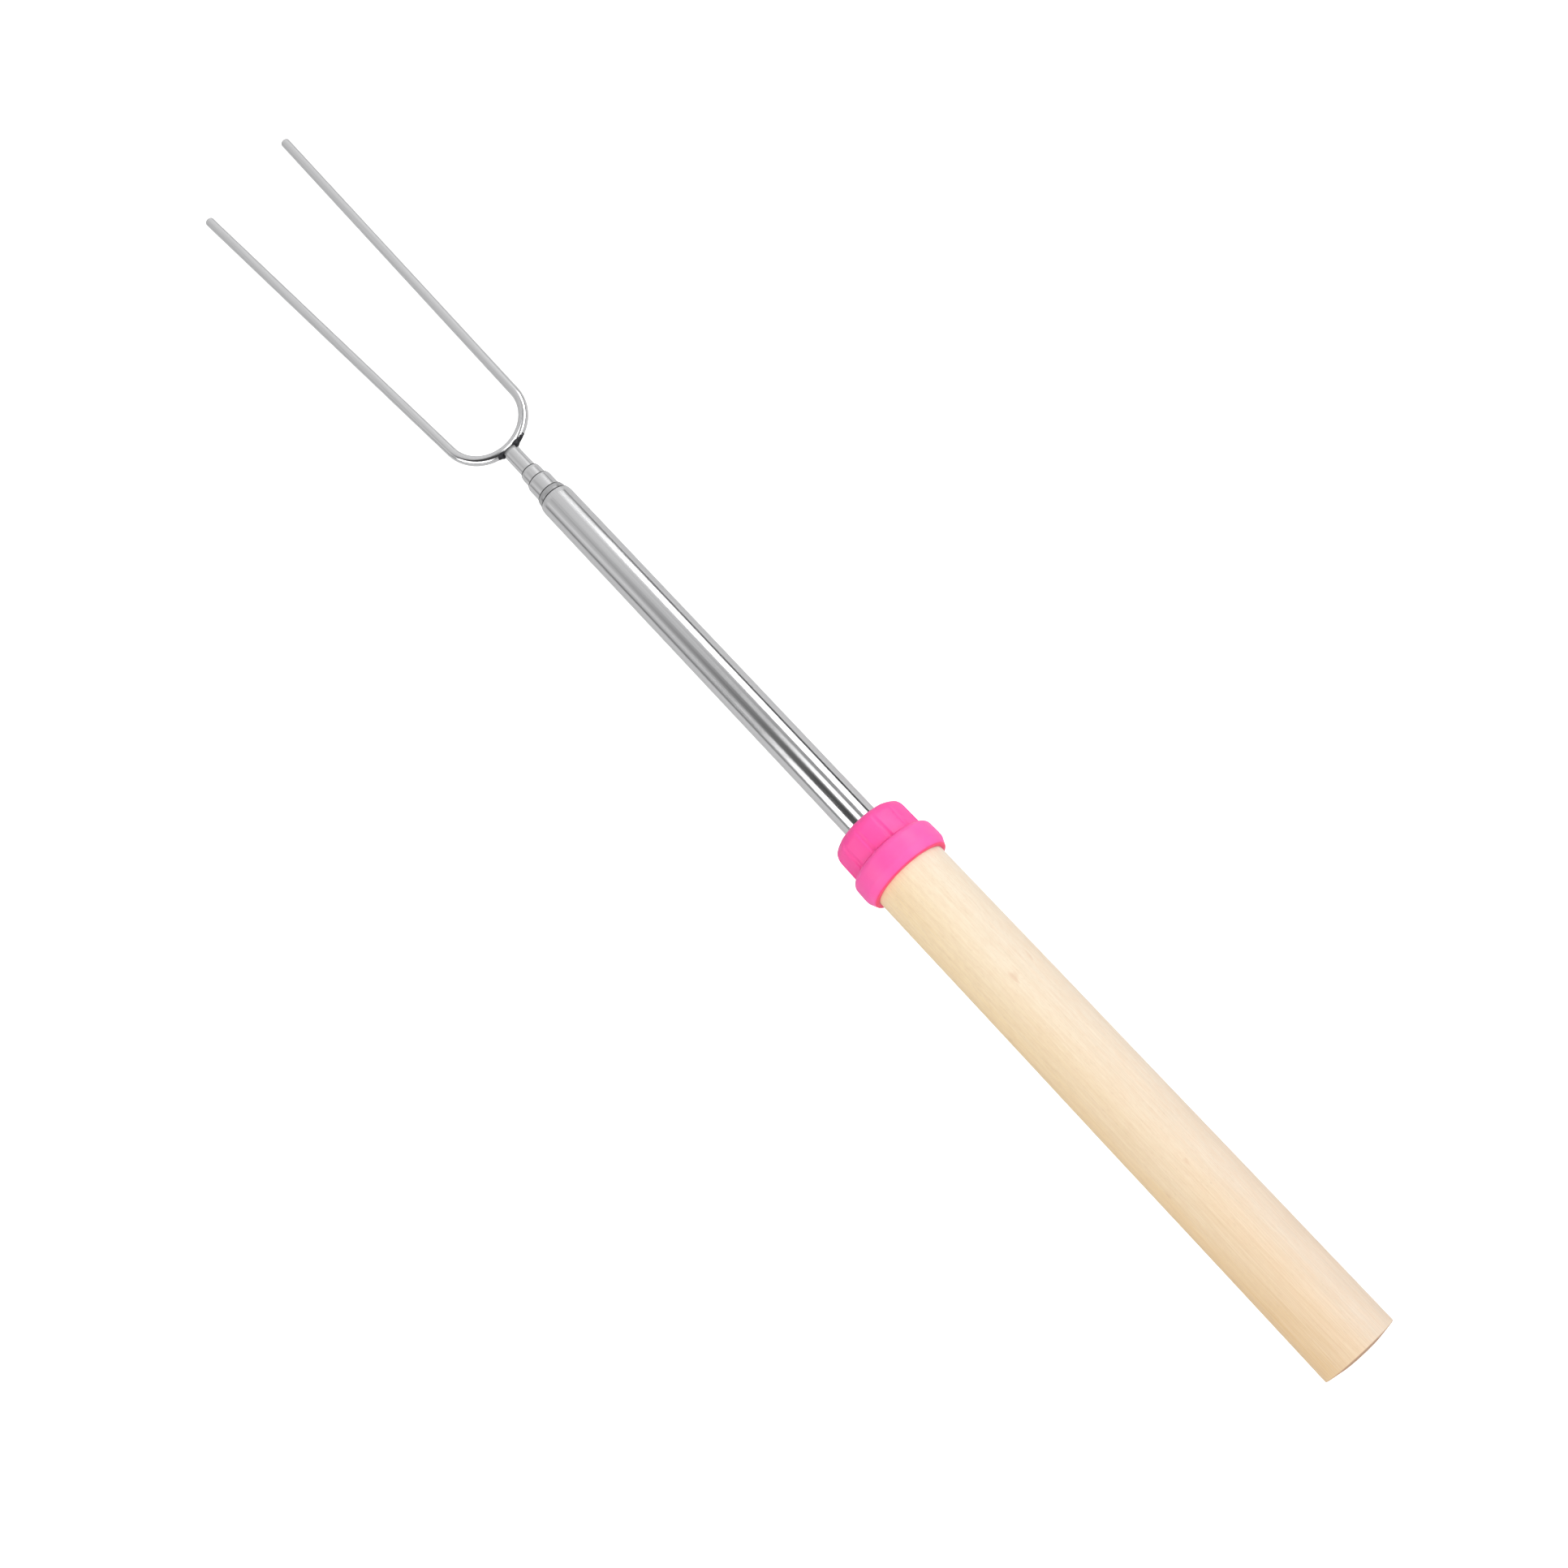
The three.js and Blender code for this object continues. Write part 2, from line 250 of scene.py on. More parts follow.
def rounded(corners, steps=7):
    """Profile through corners of (x, radius, rounding). Each corner becomes the arc of that radius that
    touches both its edges: a quadratic curve weighted by the sine of half the corner's angle."""
    corners = np.array(corners, float)
    at, radius = corners[:, :2], corners[:, 2]
    back, on = np.roll(at, 1, 0) - at, np.roll(at, -1, 0) - at
    back /= np.linalg.norm(back, axis=1, keepdims=True)
    on /= np.linalg.norm(on, axis=1, keepdims=True)
    half = np.arccos(np.clip((back * on).sum(1), -1, 1)) / 2
    cut = (radius / np.tan(half))[:, None]
    t = np.linspace(0, 1, steps)[None, :, None]
    first, middle, last = (p[:, None] for p in (at + back * cut, at, at + on * cut))
    weight = np.sin(half)[:, None, None]
    shares = (1 - t) ** 2, 2 * t * (1 - t) * weight, t**2
    arcs = (shares[0] * first + shares[1] * middle + shares[2] * last) / sum(shares)
    points = arcs.reshape(-1, 2)
    moved = np.linalg.norm(np.diff(points, axis=0), axis=1) > 1e-6
    return points[np.r_[True, moved]]


def refined(profile, pitch):
    """The same profile with points added so that no step along it is longer than the pitch."""
    along = np.r_[0, np.cumsum(np.linalg.norm(np.diff(profile, axis=0), axis=1))]
    stops = np.union1d(along.round(6), np.arange(0, along[-1], pitch).round(6))
    closest = 0.02
    stops = stops[np.r_[True, np.diff(stops) > closest]]
    return np.stack([np.interp(stops, along, profile[:, i]) for i in (0, 1)], 1)


def shell(points, looped):
    """Which points are used, and the faces, of a grid of points (row, column, xyz). Columns run round
    and meet. Rows meet too if looped, and else the first and last rows are each one point, a pole.
    Faces are turned the other way round if they enclose a negative volume."""
    rows, columns = points.shape[:2]
    ids = np.arange(rows * columns).reshape(rows, columns)
    if not looped:
        ids[0], ids[-1] = ids[0, 0], ids[-1, 0]
    here, there = (ids, np.roll(ids, -1, 0)) if looped else (ids[:-1], ids[1:])
    quads = np.stack([here, np.roll(here, -1, 1), np.roll(there, -1, 1), there], -1).reshape(-1, 4)
    used, quads = np.unique(quads, return_inverse=True)
    vertices, quads = points.reshape(-1, 3)[used], quads.reshape(-1, 4)
    a, b, c, d = (vertices[quads[:, i]] for i in range(4))
    volume = np.einsum("ij,ij->", a, np.cross(b, c)) + np.einsum("ij,ij->", a, np.cross(c, d))
    if volume < 0:
        quads = quads[:, ::-1]
    same = quads == np.roll(quads, -1, 1)
    whole = ~same.any(1)
    triangles = quads[~whole][~same[~whole]].reshape(-1, 3)
    return used, quads[whole].tolist() + triangles.tolist()


def piece(name, points, looped, body, material, replaces, crease=35, seam=None):
    """Makes a piece of the object from a grid of points in millimetres, riding on its CAD body. Its
    seam is how dark each point is painted, from 0 to 1: painted shade at joints and
    mouths, a painted darker reflection on a nose stub, and a darker band beside the weld."""
    used, faces = shell(points, looped)
    mesh = bpy.data.meshes.new(name)
    mesh.from_pydata(points.reshape(-1, 3)[used] * MM, [], faces)
    mesh.polygons.foreach_set("use_smooth", np.ones(len(faces), bool))
    mesh.set_sharp_from_angle(angle=math.radians(crease))
    if seam is not None:
        # Painted shade and reflection, stored per point for the material to darken the colour by.
        painted_dark = np.broadcast_to(seam, points.shape[:2]).reshape(-1)[used]
        mesh.attributes.new("seam", "FLOAT", "POINT").data.foreach_set("value", painted_dark)
    mesh.materials.append(material)
    made = bpy.data.objects.new(name, mesh)
    bpy.context.collection.objects.link(made)
    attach(made, body)
    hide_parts(replaces)


def turned(profile, columns, radius_at=None):
    """The profile of (x, radius) carried round the X axis. radius_at(x, radius, angle) may change the
    radius from place to place. Angles run from +Z towards -Y, which is the camera's right."""
    angle = np.linspace(0, 2 * np.pi, columns, endpoint=False)[None, :]
    x, radius = profile[:, :1], profile[:, 1:]
    r = radius_at(x, radius, angle) if radius_at else radius + 0 * angle
    return np.stack([x + 0 * r, -r * np.sin(angle), r * np.cos(angle)], -1)


# ---------------------------------------------------------------- finishes


def group(name, inputs, outputs):
    """Empty shader node group with float inputs (name: value), a Vector input and float outputs."""
    tree = bpy.data.node_groups.new(name, "ShaderNodeTree")
    tree.interface.new_socket("Vector", in_out="INPUT", socket_type="NodeSocketVector")
    for title, value in inputs.items():
        socket = tree.interface.new_socket(title, in_out="INPUT", socket_type="NodeSocketFloat")
        socket.default_value = value
    for title in outputs:
        tree.interface.new_socket(title, in_out="OUTPUT", socket_type="NodeSocketFloat")
    return tree, tree.nodes.new("NodeGroupInput").outputs, tree.nodes.new("NodeGroupOutput").inputs


def maths(tree, operation, *values):
    """Result of a Math node."""
    return node(tree, "Math", dict(enumerate(values)), operation=operation).outputs[0]


def mapped(tree, value, low, high, to_low=0.0, to_high=1.0):
    """Value mapped from one range to another and held there."""
    inputs = {"Value": value, "From Min": low, "From Max": high, "To Min": to_low, "To Max": to_high}
    return node(tree, "MapRange", inputs).outputs[0]


def noise(tree, vector, scale, detail=2.0, rough=0.5):
    """Value of a Noise Texture node, with scale in features a metre."""
    inputs = {"Vector": vector, "Scale": scale, "Detail": detail, "Roughness": rough}
    return node(tree, "TexNoise", inputs).outputs[0]


def drawn_noise(tree, vector, scales, detail):
    """Noise with its own scale along each axis, in features a metre."""
    return noise(tree, node(tree, "Mapping", {0: vector, "Scale": scales}).outputs[0], 1.0, detail)


def mixed(tree, share, first, second):
    """Two colours mixed by a share."""
    return node(tree, "Mix", {0: share, 6: first, 7: second}, data_type="RGBA").outputs[2]


def make_streaks():
    """Noise drawn out along X: Width across in millimetres, Stretch times longer along the shaft."""
    tree, given, out = group("streaks_along", {"Width": 0.3, "Stretch": 40.0}, ["Value", "Fine"])
    squeeze = node(tree, "CombineXYZ", {0: maths(tree, "DIVIDE", 1.0, given["Stretch"]), 1: 1.0, 2: 1.0})
    drawn = node(tree, "VectorMath", {0: given["Vector"], 1: squeeze.outputs[0]}, operation="MULTIPLY")
    scale = maths(tree, "DIVIDE", 1000.0, given["Width"])
    tree.links.new(noise(tree, drawn.outputs[0], scale, 3.0), out["Value"])
    tree.links.new(noise(tree, drawn.outputs[0], maths(tree, "MULTIPLY", scale, 3.1), 2.0), out["Fine"])
    return tree


def make_handling():
    """Soft blotches, as skin leaves, and small specks of dust. Size is the blotches', in millimetres."""
    tree, given, out = group("handling", {"Size": 8.0, "Dust": 0.5}, ["Blotch", "Speck"])
    scale = maths(tree, "DIVIDE", 1000.0, given["Size"])
    tree.links.new(mapped(tree, noise(tree, given["Vector"], scale, 4.0, 0.6), 0.38, 0.66), out["Blotch"])
    speck = noise(tree, given["Vector"], 2600.0, 1.0)
    rare = maths(tree, "SUBTRACT", 0.86, maths(tree, "MULTIPLY", given["Dust"], 0.12))
    found = node(tree, "MapRange", {"Value": speck, "From Min": rare, "From Max": 0.9}).outputs[0]
    tree.links.new(found, out["Speck"])
    return tree


STREAKS = make_streaks()
HANDLING = make_handling()


class Finish:
    """A material of one Principled shader, with its tree and the piece's own coordinates at hand."""

    def __init__(self, name, **values):
        self.material = bpy.data.materials.new(name)
        self.material.use_nodes = True
        self.tree = self.material.node_tree
        self.shader = self.tree.nodes["Principled BSDF"]
        self.at = node(self.tree, "TexCoord").outputs["Object"]
        for title, value in values.items():
            self.set(title.replace("_", " "), value)

    def set(self, title, value):
        socket = self.shader.inputs[title]
        if isinstance(value, bpy.types.NodeSocket):
            self.tree.links.new(value, socket)
        else:
            socket.default_value = (*value, 1) if isinstance(value, tuple) else value

    def use(self, effect, **values):
        """Outputs of an effect group placed in this material with its own values."""
        made = self.tree.nodes.new("ShaderNodeGroup")
        made.node_tree = effect
        self.tree.links.new(self.at, made.inputs["Vector"])
        for title, value in values.items():
            made.inputs[title].default_value = value
        return made.outputs

    def seam(self):
        """How dark a point of the piece is painted: painted shade at joints and mouths, a painted darker
        reflection on a nose stub, and a darker band beside the weld.
        """
        return node(self.tree, "Attribute", attribute_name="seam").outputs["Fac"]

    def bump(self, height, depth, strength=1.0):
        """Bump of a height from 0 to 1, over a depth in millimetres, on top of any bump before it."""
        inputs = {"Height": height, "Distance": depth * MM, "Strength": strength}
        last = self.shader.inputs["Normal"].links
        if last:
            inputs["Normal"] = last[0].from_socket
        self.set("Normal", node(self.tree, "Bump", inputs).outputs["Normal"])


def birch():
    """Bare birch: growth rings about a pith beside the rod, fine fibres and short pores along it. The
    -Y side is painted paler, a painted sheen of the key light on that side, and the +Y side tan, partly
    its own yellower tone. The butt is browner, and its sawn end is painted darker towards its rim, the
    painted shade of its rounded edge."""
    wood = Finish("bare_birch", Specular_IOR_Level=0.35)
    tree = wood.tree
    place = node(tree, "SeparateXYZ", {0: wood.at}).outputs

    ring_pitch, pith_place = 1.7 * MM, (0, 0.019, -0.014)
    flat = node(tree, "VectorMath", {0: wood.at, 1: (0.02, 1, 1)}, operation="MULTIPLY")
    pith = node(tree, "VectorMath", {0: flat.outputs[0], 1: pith_place}, operation="DISTANCE")
    rings = maths(tree, "MULTIPLY", pith.outputs["Value"], 1 / ring_pitch)
    warp = maths(tree, "MULTIPLY", drawn_noise(tree, wood.at, (14, 90, 90), 3.0), 1.6)
    year = maths(tree, "FRACT", maths(tree, "ADD", rings, warp))
    late = maths(tree, "POWER", year, 5.0)

    drift = drawn_noise(tree, wood.at, (14, 70, 70), 3.0)
    sway = mapped(tree, drift, 0.25, 0.75, -0.22, 0.22)
    to_butt = maths(tree, "ADD", mapped(tree, place["X"], 0.122, 0.0), sway)
    # Painted light: towards -Y, the key light's side, the wood is paler with a painted sheen; towards +Y
    # it is tan, partly its own yellower tone.
    tone_and_shade_to_left = maths(tree, "ADD", mapped(tree, place["Y"], -0.007, 0.0075), sway)
    pale = mixed(tree, to_butt, (0.765, 0.70, 0.6, 1), (0.635, 0.535, 0.445, 1))
    tan = mixed(tree, to_butt, (0.92, 0.74, 0.46, 1), (0.745, 0.52, 0.275, 1))

    fibre = wood.use(STREAKS, Width=0.55, Stretch=45.0)["Value"]
    hair = wood.use(STREAKS, Width=0.16, Stretch=60.0)["Value"]
    pore = wood.use(STREAKS, Width=0.22, Stretch=14.0)["Fine"]
    short = mapped(tree, pore, 0.62, 0.72, 0, 0.4)
    mottle = drawn_noise(tree, wood.at, (420, 1500, 1500), 2.0)
    fleck = drawn_noise(tree, wood.at, (130, 420, 420), 1.0)

    end = mapped(tree, place["X"], 0.28 * MM, 0.05 * MM)
    end_ring = maths(tree, "MULTIPLY", end, mapped(tree, late, 0, 1, 0.2, 0.7))
    across = node(tree, "VectorMath", {0: wood.at, 1: (0, 1, 1)}, operation="MULTIPLY")
    out = node(tree, "VectorMath", {0: across.outputs[0]}, operation="LENGTH").outputs["Value"]
    # Painted shade: the outer part of the sawn end, where its rounded edge would lie in shadow.
    rim_shade = mapped(tree, out, 0.55 * GRIP_RADIUS * MM, 0.75 * GRIP_RADIUS * MM, 0.05, 0.8)

    stains = [
        (mapped(tree, fibre, 0.35, 0.7, 0, 0.16), (0.66, 0.46, 0.3, 1)),
        (mapped(tree, hair, 0.4, 0.66, 0, 0.26), (0.92, 0.8, 0.64, 1)),
        (maths(tree, "MULTIPLY", late, 0.12), (0.6, 0.42, 0.25, 1)),
        (mapped(tree, mottle, 0.4, 0.68, 0, 0.2), (0.72, 0.5, 0.33, 1)),
        (short, (0.5, 0.34, 0.2, 1)),
        (mapped(tree, fleck, 0.77, 0.83, 0, 0.35), (0.62, 0.36, 0.22, 1)),
        (end_ring, (0.55, 0.37, 0.22, 1)),
        # painted shade on the rim of the sawn end
        (maths(tree, "MULTIPLY", end, rim_shade), (0.34, 0.17, 0.1, 1)),
    ]
    base = mixed(tree, tone_and_shade_to_left, pale, tan)
    for share, colour in stains:
        base = mixed(tree, share, base, colour)
    wood.set("Base Color", base)
    hand = wood.use(HANDLING, Size=14.0, Dust=0.2)
    wood.set("Roughness", mapped(tree, hand["Blotch"], 0, 1, 0.58, 0.5))
    wood.bump(fibre, 0.03, 0.5)
    wood.bump(short, 0.02, 0.6)
    return wood.material


def pink(name, colour, deep):
    """Moulded pink plastic: colour that clouds towards a deeper one, a fine mould texture, handling
    marks, and deep red painted shade where it meets the wood."""
    made = Finish(name, IOR=1.5)
    tree = made.tree
    cloud = noise(tree, made.at, 160.0, 3.0)
    hand = made.use(HANDLING, Size=3.0, Dust=0.6)
    base = mixed(tree, mapped(tree, cloud, 0.35, 0.65), (*colour, 1), (*deep, 1))
    base = mixed(tree, maths(tree, "MULTIPLY", hand["Speck"], 0.35), base, (1, 0.75, 0.85, 1))
    # Painted shade: deep red where seam marks the cuff's edge against the wood.
    made.set("Base Color", mixed(tree, made.seam(), base, (0.95, 0.045, 0.17, 1)))
    made.set("Roughness", mapped(tree, hand["Blotch"], 0, 1, 0.4, 0.5))
    made.set("Subsurface Weight", 0.25)
    made.set("Subsurface Radius", Vector((1.0, 0.25, 0.5)))
    made.set("Subsurface Scale", 0.9 * MM)
    made.bump(noise(tree, made.at, 5200.0, 2.0), 0.006, 0.5)
    return made.material


def steel(name, colour, rough, width, depth):
    """Bright metal with draw lines along the shaft, soft handling marks, dark painted shade at the
    nested mouths and on a nose stub, and a darker band beside the weld.
    """
    made = Finish(name, Metallic=1.0)
    tree = made.tree
    line = made.use(STREAKS, Width=width, Stretch=120.0)
    hand = made.use(HANDLING, Size=6.0, Dust=0.4)
    base = mixed(tree, mapped(tree, line["Value"], 0.35, 0.7, 0, 0.35), (*colour, 1), (0.6, 0.6, 0.61, 1))
    base = mixed(tree, maths(tree, "MULTIPLY", hand["Speck"], 0.5), base, (0.9, 0.9, 0.88, 1))
    # Painted shade: dark at the nested mouths, grey on a nose stub, and a darker band beside the weld.
    made.set("Base Color", mixed(tree, made.seam(), base, (0.05, 0.05, 0.052, 1)))
    gloss = maths(tree, "ADD", mapped(tree, line["Fine"], 0.3, 0.7, -0.03, 0.04), rough)
    made.set("Roughness", maths(tree, "ADD", gloss, maths(tree, "MULTIPLY", hand["Blotch"], 0.04)))
    made.bump(line["Value"], depth, 0.5)
    return made.material


def plain_metal(name, colour, rough):
    """Rolled sheet or spring metal with a fine grain."""
    made = Finish(name, Metallic=1.0)
    grain = noise(made.tree, made.at, 1800.0, 3.0)
    dark = [0.75 * part for part in colour]
    share = mapped(made.tree, grain, 0.3, 0.7)
    made.set("Base Color", mixed(made.tree, share, (*colour, 1), (*dark, 1)))
    made.set("Roughness", mapped(made.tree, grain, 0.3, 0.7, rough - 0.05, rough + 0.08))
    made.bump(grain, 0.01, 0.4)
    return made.material


def nylon():
    """Natural white nylon, slightly waxy."""
    made = Finish("white_nylon", IOR=1.53)
    hand = made.use(HANDLING, Size=4.0, Dust=0.5)
    base = mixed(made.tree, hand["Blotch"], (0.82, 0.8, 0.74, 1), (0.78, 0.75, 0.68, 1))
    made.set("Base Color", base)
    made.set("Roughness", mapped(made.tree, hand["Blotch"], 0, 1, 0.42, 0.55))
    made.bump(noise(made.tree, made.at, 3000.0, 2.0), 0.01, 0.4)
    return made.material


WOOD = birch()
CUFF_PINK = pink("cuff_pink", (0.98, 0.105, 0.42), (0.96, 0.095, 0.395))
WHEEL_PINK = pink("wheel_pink", (0.98, 0.078, 0.375), (0.96, 0.068, 0.345))
TUBE_STEEL = steel("drawn_tube_steel", (0.78, 0.78, 0.79), 0.12, 0.25, 0.004)
WIRE_CHROME = steel("bright_wire", (0.8, 0.8, 0.81), 0.14, 0.2, 0.004)
WELD = plain_metal("dark_weld", (0.06, 0.06, 0.065), 0.45)
SPRING = plain_metal("spring_steel", (0.5, 0.5, 0.51), 0.35)
BRASS = plain_metal("shim_brass", (0.78, 0.6, 0.25), 0.32)
NYLON = nylon()


# ---------------------------------------------------------------- handle


def handle_grip():
    """Round rod with a faintly domed butt and a blind stepped bore. The radius of its outside wanders
    by a few hundredths of a millimetre, as the sum of two sines of the place along it and round it."""
    bore, counterbore = SLEEVE_RADIUS + PRESS_GAP, FLANGE_RADIUS + PRESS_GAP
    step, floor = GRIP_FRONT - SLEEVE_FLANGE - PRESS_GAP, PLUG_REAR - BORE_CLEARANCE
    profile = rounded(
        [
            (BUTT - BUTT_DOME, 0, 0),
            (BUTT - BUTT_DOME, 0.5 * GRIP_RADIUS, 10),
            (BUTT + 0.1, GRIP_RADIUS, 0.25),
            (GRIP_FRONT, GRIP_RADIUS, 0.2),
            (GRIP_FRONT, counterbore, 0),
            (step, counterbore, 0),
            (step, bore, 0),
            (floor, bore, 0),
            (floor, 0, 0),
        ]
    )

    def radius_at(x, radius, angle):
        outside = np.clip((radius - GRIP_RADIUS + 0.5) / 0.1, 0, 1)
        coarse, fine = 0.01, 0.012
        wander = fine * np.sin(0.11 * x + 3 * angle) + coarse * np.sin(0.05 * x - 2 * angle + 1)
        return radius + outside * (wander - coarse - fine)

    points = turned(refined(profile, 1.2), 144, radius_at)
    piece("wood_grip", points, False, "handle", WOOD, "handle_grip", 25)


def handle_cuff():
    """Cap with a barrel side: rounded front shoulder, long sloped rear shoulder down to the wood, and
    painted shade, deep red, on its rear edge there."""
    hole_gap, shaded_edge, fade = 0.4, 0.35, 0.25
    skirt, hole, web = GRIP_RADIUS + PRESS_GAP, TUBE_RADIUS + hole_gap, GRIP_FRONT + PRESS_GAP
    side = CUFF_RADIUS
    profile = rounded(
        [
            (CUFF_REAR, skirt, 0),
            (CUFF_REAR, side - 0.85, 0.1),
            (CUFF_REAR + 1.75, side - 0.04, 1.8),
            (CUFF_FRONT - 3.5, side, 6),
            (CUFF_FRONT, side - 0.1, 1.35),
            (CUFF_FRONT, hole, 0.15),
            (web, hole, 0),
            (web, skirt, 0),
        ]
    )
    profile = refined(profile, 0.2)
    # Painted shade: the rear edge against the wood is coloured deep red, as if in shadow.
    edge_shade = np.clip((CUFF_REAR + shaded_edge - profile[:, :1]) / fade, 0, 1)
    points = turned(profile, 160)
    piece("pink_cuff", points, True, "handle", CUFF_PINK, "handle_cuff", seam=edge_shade)


def thumb_wheel():
    """Rounded cap with finger flutes and flattened lobes between them. A flute is a round channel, sunk
    deeper to the rear. A lobe lies between the circle and the straight side of a regular polygon. The
    side is the smooth lower of the lobe and the channel, which softens the edges between them."""
    bore, recess = TUBE_RADIUS + PRESS_GAP, WASHER_RADIUS + PRESS_GAP
    floor, rear, front = WHEEL_REAR + WASHER_FRONT - WASHER_REAR, CUFF_FRONT + 0.06, WHEEL_FRONT + 0.2
    profile = rounded(
        [
            (floor, bore, 0),
            (floor, recess, 0),
            (rear, recess, 0.05),
            (rear, WHEEL_RADIUS, 0.12),
            (front, WHEEL_RADIUS - 0.1, 2.6),
            (front, bore, 0.2),
        ],
        9,
    )
    pitch, channel, flatness, soft = 2 * np.pi / FLUTES, 0.8, 0.5, 0.07

    def radius_at(x, radius, angle):
        share = np.clip((x - WHEEL_REAR) / (WHEEL_FRONT - WHEEL_REAR), 0, 1)
        sunk = FLUTE_DEPTH[0] + (FLUTE_DEPTH[1] - FLUTE_DEPTH[0]) * share
        middle = WHEEL_RADIUS + channel - sunk
        off = (angle - math.radians(FLUTE_TURN) + pitch / 2) % pitch - pitch / 2
        across = middle * np.sin(off)
        inside = np.maximum(channel**2 - across**2, 0)
        bottom = np.where(inside > 0, middle * np.cos(off) - np.sqrt(inside), WHEEL_RADIUS + 1)
        straight = np.cos(pitch / 2) / np.cos(pitch / 2 - np.abs(off))
        lobe = radius * (1 + flatness * (straight - 1))
        blend = -soft * np.log(np.exp(-lobe / soft) + np.exp(-bottom / soft))
        outer = np.clip((radius - recess - 0.2) / 0.3, 0, 1)
        return radius * (1 - outer) + np.minimum(blend, radius) * outer

    points = turned(refined(profile, 0.2), 480, radius_at)
    piece("pink_wheel", points, True, "turning_tube", WHEEL_PINK, "thumb_wheel")


# ---------------------------------------------------------------- tubes


def tube(name, nested):
    """Thin tube with a rolled waist near its rear end and a nose drawn in round the nested tube. The
    nose is a quarter of an ellipse. The last tube has no nose and ends square at the weld."""
    rear, mouth, radius = span(name)
    bore = radius - TUBE_WALL
    if name == "outer_tube":
        waist = (CLIP_REAR - CLIP_WAIST_MARGIN, CLIP_FRONT + CLIP_WAIST_MARGIN, CLIP_WAIST_DEPTH)
    else:
        waist = (rear + SHIM_WAIST[0], rear + SHIM_WAIST[1], SHIM_WAIST[2])
    low = radius - waist[2]
    outside = [
        (rear, radius, 0.08),
        (waist[0], radius, 0.15),
        (waist[0] + WAIST_RAMP, low, 0.15),
        (waist[1] - WAIST_RAMP, low, 0.15),
        (waist[1], radius, 0.15),
    ]
    inside = [(x, r - TUBE_WALL, 0.05) for x, r, _ in reversed(outside)]
    if nested:
        lip = span(nested)[2] + LIP_GAP
        length, stub_shade = NOSES[name]
        nose = mouth - length
        turn = np.linspace(np.pi / 2, 0, 20)
        bulge = radius - lip - LIP_WALL
        front = np.stack([nose + length * np.cos(turn), lip + LIP_WALL + bulge * np.sin(turn)], 1)
        front = [(*point, 0) for point in front]
        front += [(mouth, lip, 0.03), (mouth - LIP_LAND, lip, 0.1), (mouth - NECK, bore, 0.1)]
    else:
        front = [(mouth, radius, 0.06), (mouth, bore, 0.06)]
    profile = refined(rounded([*outside, *front, *inside], 5), 1.5)
    x, fade = profile[:, :1], 0.1
    # Painted shade: a dark line at each nested mouth; the last tube gets a darker band at its weld end.
    painted_dark = np.clip((x - mouth + (MOUTH_SHADE if nested else WELD_DARK_BAND)) / fade, 0, 1)
    if nested:
        # Painted reflection: the nose stub is painted darker, as if it mirrored a dark part of the room.
        painted_dark = np.maximum(painted_dark, stub_shade * (x > mouth - NECK))
    points = turned(profile, 96)
    piece("steel_" + name, points, True, TUBES[name], TUBE_STEEL, name, seam=painted_dark)


# ---------------------------------------------------------------- fork


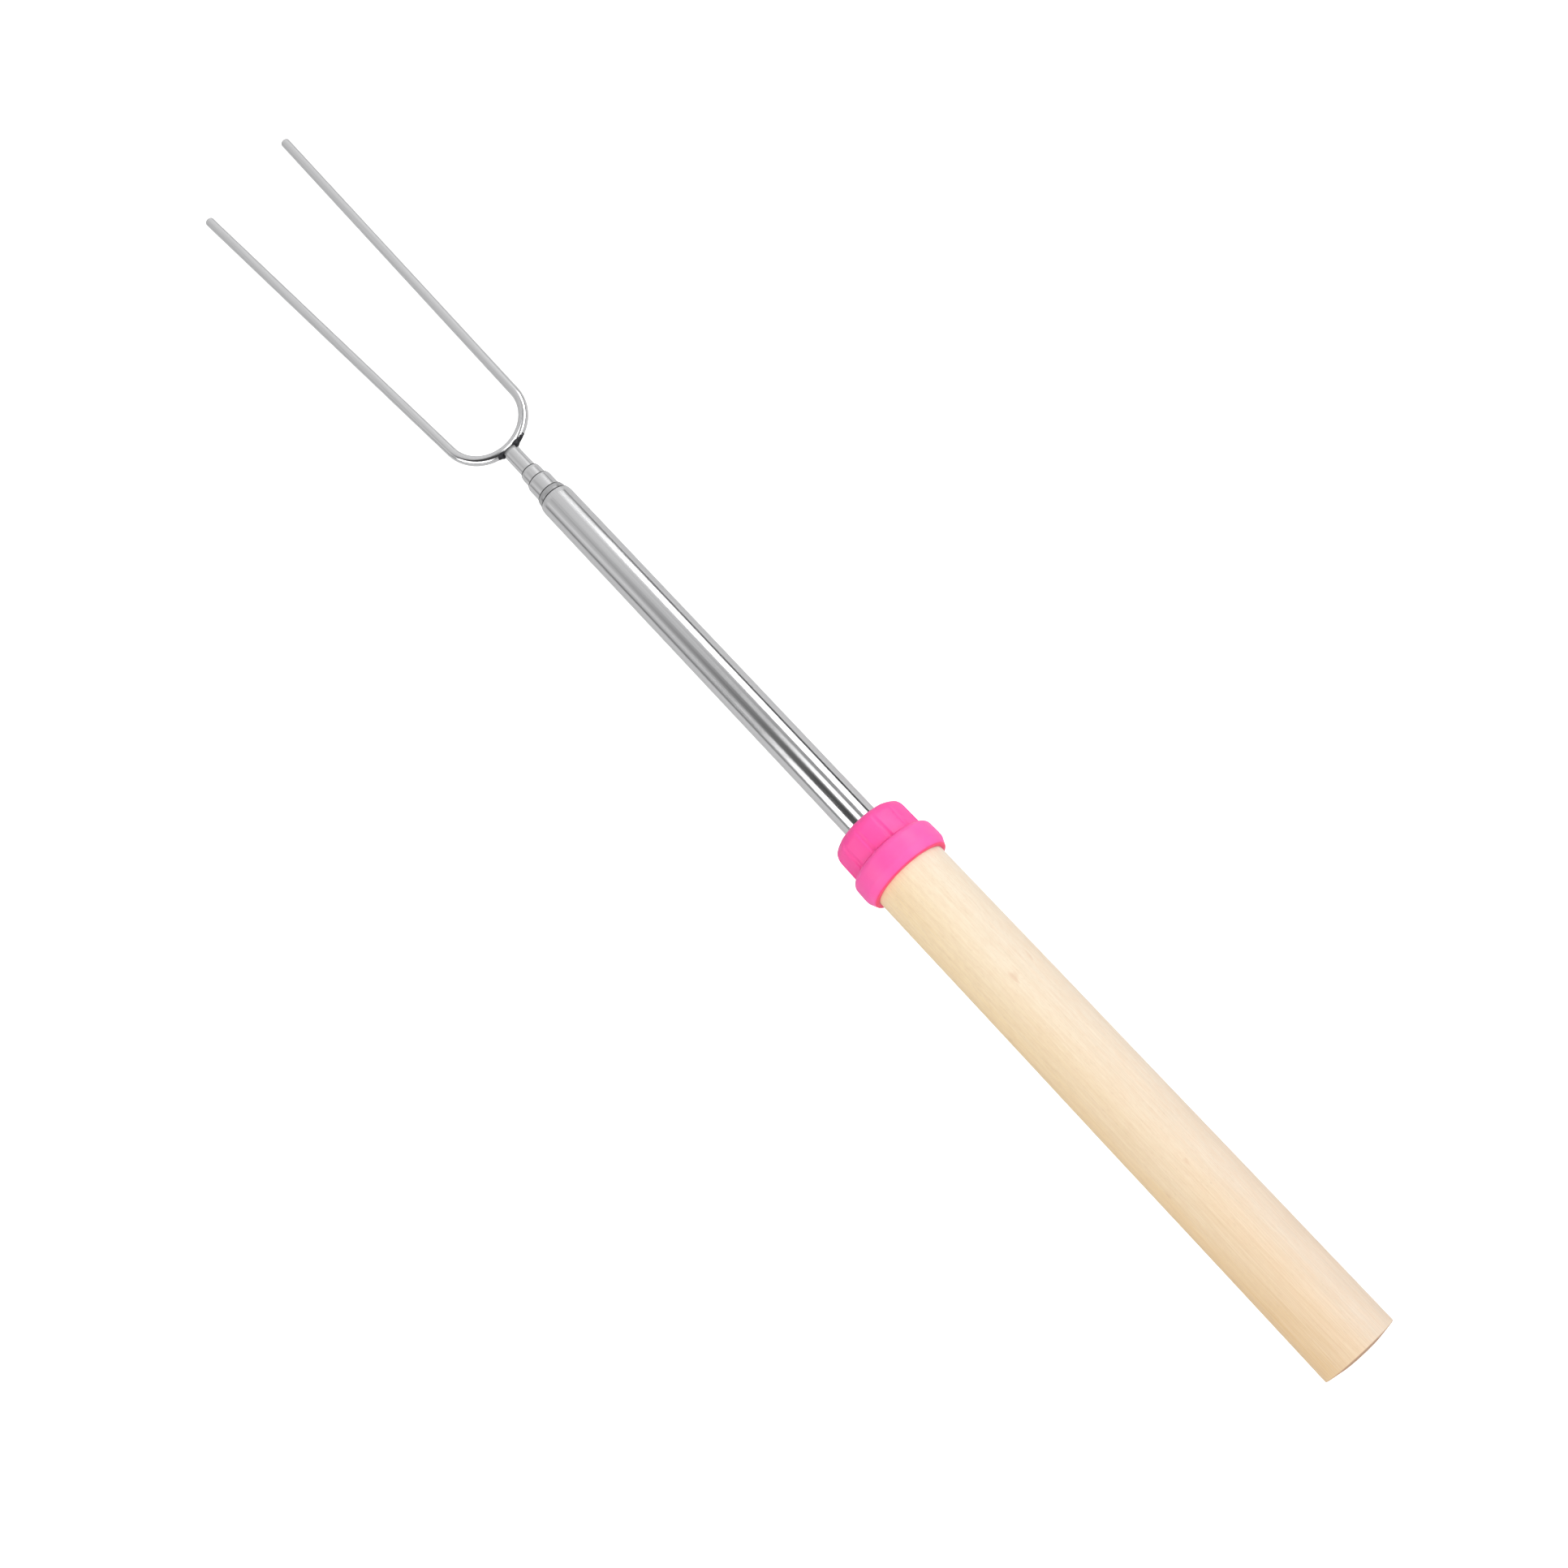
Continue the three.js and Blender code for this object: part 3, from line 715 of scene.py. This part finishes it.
def fork_wire():
    """Round wire along a path of straight prong, part circle and straight prong. At each tip the
    section shrinks in a small round and closes flat in a pole, which leaves a blunt cut end."""
    bottom = WIRE_REAR + WIRE_RADIUS
    (left, left_length), (right, right_length) = PRONGS
    turn = np.radians(np.linspace(90 - left, right - 90, 61))
    bend = np.stack([bottom + BEND_RADIUS * (1 - np.cos(turn)), BEND_RADIUS * np.sin(turn)], 1)

    def prong(end, splay, side, length):
        """Straight run from an end of the bend, as distances from 0 to its length."""
        way = np.array([np.cos(math.radians(splay)), side * np.sin(math.radians(splay))])
        return end + way * np.linspace(0, length, 40)[1:, None]

    path = np.concatenate(
        [prong(bend[0], left, 1, left_length)[::-1], bend, prong(bend[-1], right, -1, right_length)]
    )
    way = np.gradient(path, axis=0)
    way /= np.linalg.norm(way, axis=1, keepdims=True)
    edge = 0.22  # round of a cut end
    lift = np.linspace(np.pi / 2, 0, 6)
    inset, shrunk = edge * (1 - np.sin(lift)), WIRE_RADIUS - edge * (1 - np.cos(lift))
    first = path[0] + way[0] * inset[:, None]
    last = path[-1] - way[-1] * inset[::-1, None]
    spine = np.concatenate([path[:1], first, path[1:-1], last, path[-1:]])
    radius = np.r_[0, shrunk, np.full(len(path) - 2, WIRE_RADIUS), shrunk[::-1], 0]
    capped = len(inset) + 1
    ways = np.concatenate([np.repeat(way[:1], capped, 0), way[1:-1], np.repeat(way[-1:], capped, 0)])
    across = np.stack([-ways[:, 1], ways[:, 0]], 1)
    angle = np.linspace(0, 2 * np.pi, 32, endpoint=False)[None, :]
    out = radius[:, None] * np.cos(angle)
    points = np.stack(
        [
            spine[:, :1] + across[:, :1] * out,
            spine[:, 1:] + across[:, 1:] * out,
            radius[:, None] * np.sin(angle),
        ],
        -1,
    )
    piece("bent_fork_wire", points, False, "tip_slide", WIRE_CHROME, "fork_wire")


def weld_bead():
    """Weld on the back of the wire, on both sides of the tube: a circle carried round the bend inside
    the wire and a little behind it, so that only its back comes through. It stands out further beside
    the tube, and sinks into the wire towards each end, where it closes in a pole."""
    left, right = -4.6, 7.2  # ends of the weld, to +Y and to -Y, along the back of the wire
    left_fade, right_fade = 2.6, 5.0
    back = BEND_RADIUS + WIRE_RADIUS
    along = np.linspace(0, 1, 97)[:, None]
    at = left + (right - left) * (0.5 - 0.5 * np.cos(np.pi * along))
    full = np.clip(np.minimum((at - left) / left_fade, (right - at) / right_fade), 0, 1)
    swell = 0.25 * np.exp(-(((np.abs(at) - TIP_RADIUS - 0.1) / 0.5) ** 2))
    behind = 0.22 * full + swell + 0.03 * full * np.sin(8 * at)
    close = np.clip(np.minimum(along, 1 - along) / 0.02, 0, 1) ** 0.5
    thick = (WIRE_RADIUS - 0.1) * close
    angle = np.linspace(0, 2 * np.pi, 48, endpoint=False)[None, :]
    out = BEND_RADIUS + behind + thick * np.cos(angle)
    turn = at / back
    x = WIRE_REAR + back - out * np.cos(turn)
    points = np.stack([x, -out * np.sin(turn), thick * np.sin(angle)], -1)
    piece("fork_weld", points, False, "tip_slide", WELD, "weld_bead", 60)


handle_grip()
handle_cuff()
thumb_wheel()
for name, nested in zip(TUBES, [*list(TUBES)[1:], None]):
    tube(name, nested)
fork_wire()
weld_bead()

HIDDEN = {
    "bearing_sleeve": NYLON,
    "thrust_washer": NYLON,
    "tube_end_plug": NYLON,
    "retaining_clip": SPRING,
}
HIDDEN.update({name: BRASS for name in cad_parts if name.startswith("friction_shim")})
for name, material in HIDDEN.items():
    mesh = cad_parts[name].data
    mesh.materials.clear()
    mesh.materials.append(material)
